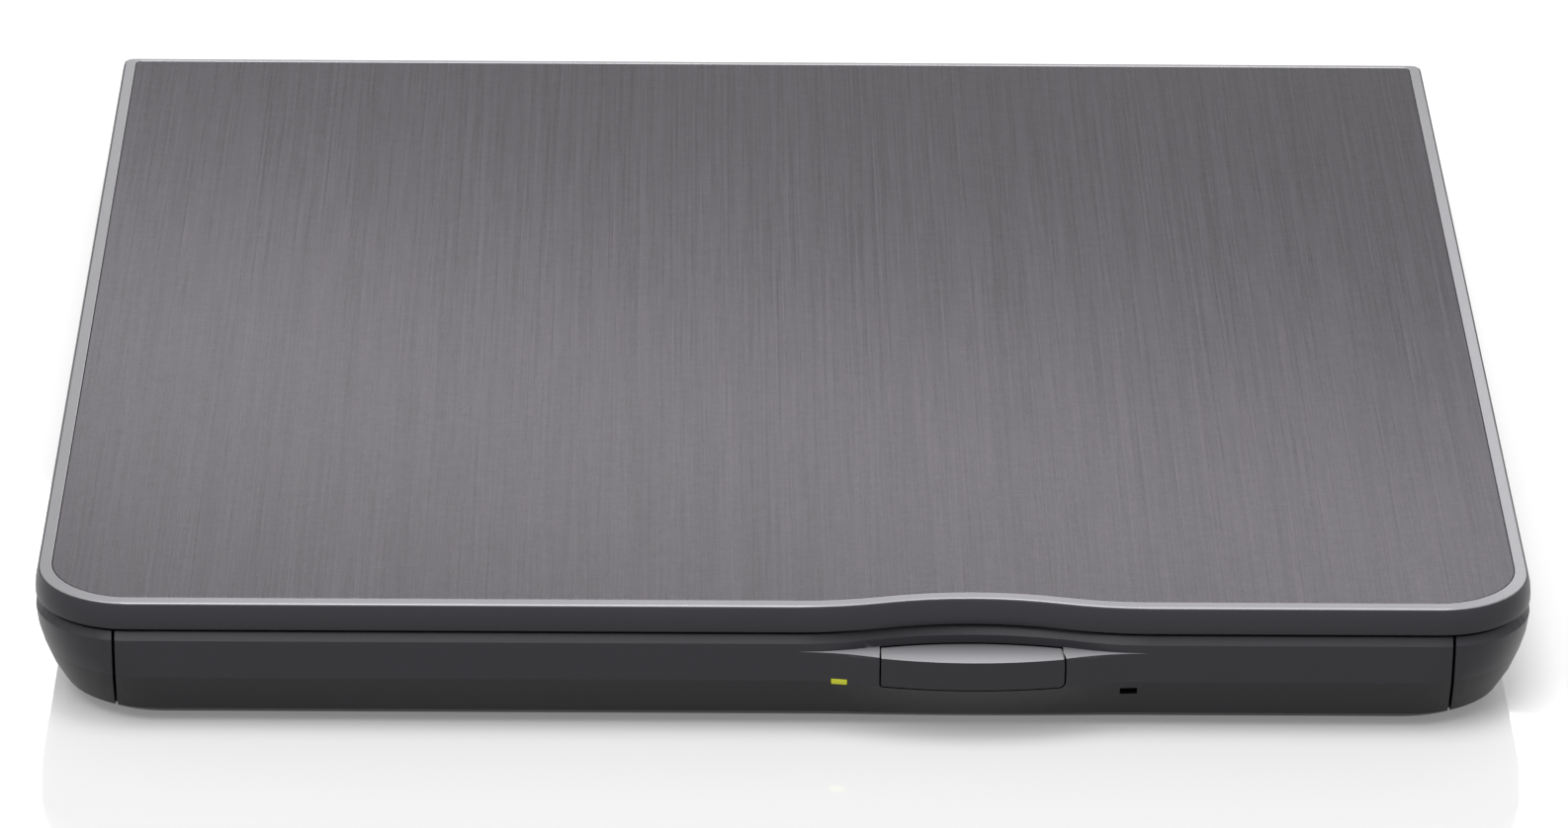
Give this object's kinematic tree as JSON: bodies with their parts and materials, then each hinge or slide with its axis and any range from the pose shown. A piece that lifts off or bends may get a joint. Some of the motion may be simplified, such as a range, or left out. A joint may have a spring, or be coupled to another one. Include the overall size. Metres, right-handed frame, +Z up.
{
  "type": "optical disc drive",
  "caption": "Slim external optical disc drive with a brushed top plate in a bright rim, a sliding tray on telescopic rails and a bowed eject button.",
  "frame": {"origin": "on the surface the drive stands on, in the middle of its footprint", "axes": "+X to the right seen from the front, +Y from the tray's front to the back, +Z up"},
  "size_m": [0.148, 0.146, 0.014],
  "materials": {
    "case_plastic": "satin, very dark grey",
    "bezel_plastic": "satin, very dark grey",
    "button_plastic": "satin, very dark grey",
    "trim_metal": "satin",
    "brushed_plate": "brushed from front to back, anodised grey",
    "foot_rubber": "matte",
    "black_rubber": "matte",
    "screw_steel": "nickel plated",
    "sheet_steel": "zinc plated sheet",
    "frame_steel": "bright",
    "guide_plastic": "matte",
    "rail_steel": "bright",
    "tray_plastic": "matte black",
    "light_pipe": "tinted yellow, lit",
    "lamp": "clear yellow",
    "shaft_steel": "ground",
    "stator_copper": "enamelled wire",
    "claw_plastic": "natural white",
    "spring_steel": "bright",
    "carriage_metal": "as cast",
    "actuator_cover": "matte",
    "lens_glass": "coated",
    "board_green": "solder mask",
    "chip_black": "moulded",
    "connector_plastic": "moulded",
    "flex_film": "amber film"
  },
  "bodies": {
    "housing": {"lower_case": "case_plastic", "upper_cover": "case_plastic", "trim_ring": "trim_metal", "top_plate": "brushed_plate", "rubber_feet": "foot_rubber", "case_screws": "screw_steel", "drive_chassis": "sheet_steel", "drive_lid": "sheet_steel", "lock_pin": "screw_steel", "rail_guide_left": "guide_plastic", "rail_guide_right": "guide_plastic", "rear_board": "board_green", "data_plug": "connector_plastic", "data_socket": "connector_plastic", "bridge_board": "board_green", "bridge_screws": "screw_steel", "bridge_chips": "chip_black", "usb_socket": "frame_steel", "flex_cable": "flex_film"},
    "tray": {"disc_tray": "tray_plastic", "tray_bottom_cover": "sheet_steel", "tray_bezel": "bezel_plastic", "status_light": "light_pipe", "traverse_frame": "tray_plastic", "traverse_cover": "sheet_steel", "dampers": "black_rubber", "damper_screws": "screw_steel", "main_shaft": "shaft_steel", "sub_shaft": "shaft_steel", "spindle_base": "frame_steel", "stator": "stator_copper", "sled_motor": "frame_steel", "motor_bracket": "frame_steel", "main_board": "board_green", "board_chips": "chip_black", "board_screws": "screw_steel", "status_lamp": "lamp", "eject_switch": "chip_black", "latch_spring": "spring_steel", "solenoid": "frame_steel", "ejector_pusher": "claw_plastic", "ejector_spring": "spring_steel", "tray_flex": "flex_film"},
    "rail_left": {"rail_left": "rail_steel"},
    "rail_right": {"rail_right": "rail_steel"},
    "eject_button": {"eject_button": "button_plastic"},
    "switch_plunger": {"switch_plunger": "claw_plastic"},
    "turntable": {"rotor": "tray_plastic", "turntable": "tray_plastic", "friction_ring": "black_rubber"},
    "disc_claw_1": {"disc_claw_1": "claw_plastic"},
    "disc_claw_2": {"disc_claw_2": "claw_plastic"},
    "disc_claw_3": {"disc_claw_3": "claw_plastic"},
    "pickup": {"pickup_carriage": "carriage_metal", "lens_actuator": "actuator_cover", "objective_lens": "lens_glass", "screw_follower": "claw_plastic"},
    "lead_screw": {"lead_screw": "shaft_steel"},
    "latch_lever": {"latch_lever": "connector_plastic"},
    "solenoid_plunger": {"solenoid_plunger": "shaft_steel"}
  },
  "joints": [
    {"name": "tray_slide", "type": "slide", "parent": "housing", "child": "tray", "axis": [0, -1, 0], "range_m": [0, 0.126], "deforming": ["flex_cable"]},
    {"name": "rail_left_slide", "type": "slide", "parent": "housing", "child": "rail_left", "axis": [0, -1, 0], "range_m": [0, 0.063]},
    {"name": "rail_right_slide", "type": "slide", "parent": "housing", "child": "rail_right", "axis": [0, -1, 0], "range_m": [0, 0.063]},
    {"name": "button_press", "type": "slide", "parent": "tray", "child": "eject_button", "axis": [0, 1, 0], "range_m": [0, 0.00035], "stiffness_N_per_m": 300},
    {"name": "switch_press", "type": "slide", "parent": "tray", "child": "switch_plunger", "axis": [0, 1, 0], "range_m": [0, 0.00035]},
    {"name": "turntable_spin", "type": "hinge", "parent": "tray", "child": "turntable", "pos_m": [0, -0.0043, 0.009], "axis": [0, 0, 1], "continuous": true},
    {"name": "disc_claw_1_slide", "type": "slide", "parent": "turntable", "child": "disc_claw_1", "axis": [0, -1, 0], "range_m": [0, 0.00045], "stiffness_N_per_m": 150},
    {"name": "disc_claw_2_slide", "type": "slide", "parent": "turntable", "child": "disc_claw_2", "axis": [0.866, 0.5, 0], "range_m": [0, 0.00045], "stiffness_N_per_m": 150},
    {"name": "disc_claw_3_slide", "type": "slide", "parent": "turntable", "child": "disc_claw_3", "axis": [-0.866, 0.5, 0], "range_m": [0, 0.00045], "stiffness_N_per_m": 150},
    {"name": "pickup_slide", "type": "slide", "parent": "tray", "child": "pickup", "axis": [-0.7071, -0.7071, 0], "range_m": [0, 0.034]},
    {"name": "lead_screw_spin", "type": "hinge", "parent": "tray", "child": "lead_screw", "pos_m": [-0.01174, 0.00744, 0.0058], "axis": [-0.7071, -0.7071, 0], "continuous": true},
    {"name": "latch_turn", "type": "hinge", "parent": "tray", "child": "latch_lever", "pos_m": [0.045, -0.046, 0.0055], "axis": [0, 0, 1], "range_deg": [0, 10]},
    {"name": "solenoid_plunger_slide", "type": "slide", "parent": "tray", "child": "solenoid_plunger", "axis": [0, -1, 0], "range_m": [0, 0.00113], "stiffness_N_per_m": 300}
  ],
  "couplings": [
    {"joint": "rail_left_slide", "follows": "tray_slide", "ratio": 0.5},
    {"joint": "rail_right_slide", "follows": "tray_slide", "ratio": 0.5},
    {"joint": "switch_press", "follows": "button_press", "ratio": 1},
    {"joint": "disc_claw_2_slide", "follows": "disc_claw_1_slide", "ratio": 1},
    {"joint": "disc_claw_3_slide", "follows": "disc_claw_1_slide", "ratio": 1},
    {"joint": "lead_screw_spin", "follows": "pickup_slide", "rad_per_m": 2094.4},
    {"joint": "latch_turn", "follows": "solenoid_plunger_slide", "rad_per_m": 153.85}
  ]
}
